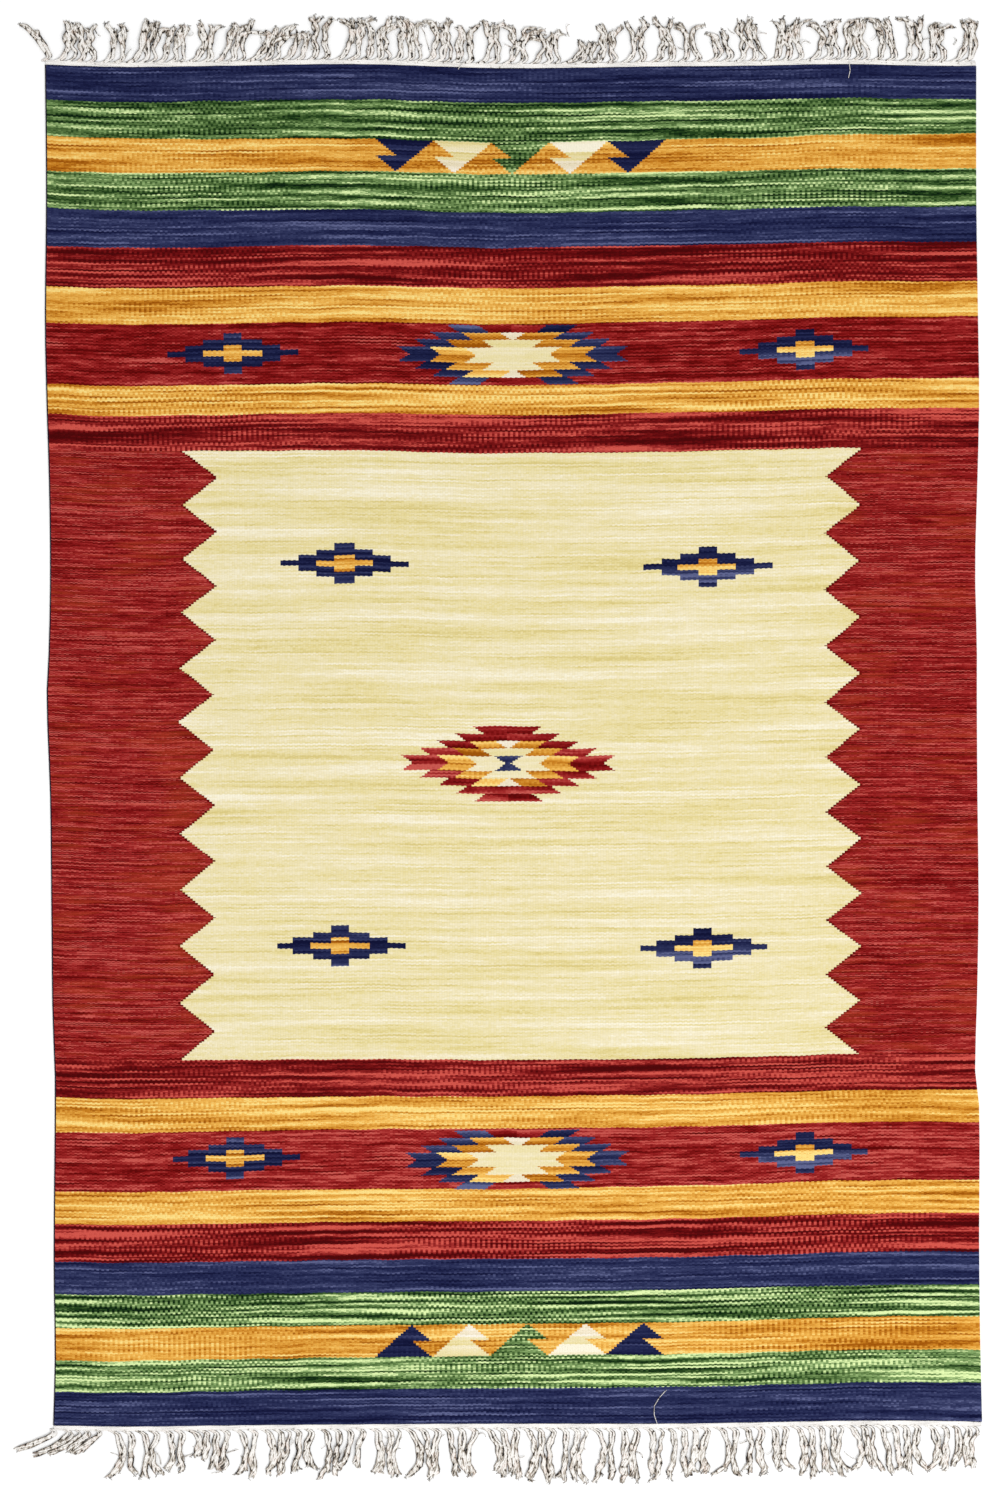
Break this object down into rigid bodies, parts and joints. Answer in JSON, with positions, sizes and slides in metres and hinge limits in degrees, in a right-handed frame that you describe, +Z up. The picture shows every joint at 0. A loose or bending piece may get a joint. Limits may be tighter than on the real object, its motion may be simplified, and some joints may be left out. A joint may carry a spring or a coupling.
{
  "type": "kilim rug",
  "caption": "Flat-woven rug lying flat on the floor, with wavy selvedges, narrow cream headings and a loose cotton warp fringe along each end.",
  "frame": {"origin": "centre of the cloth's underside, on the floor", "axes": "+Z up through the cloth, +Y along the length to the far end, +X across to the right selvedge"},
  "size_m": [1.673, 2.5306, 0.003],
  "materials": {
    "striped_wool": "matt weft-faced flat weave in red, gold, green, navy and cream",
    "warp_cotton": "matt twisted cotton yarn, off-white"
  },
  "bodies": {
    "root": {"kilim_cloth": "striped_wool", "far_fringe": "warp_cotton", "near_fringe": "warp_cotton"}
  },
  "joints": []
}
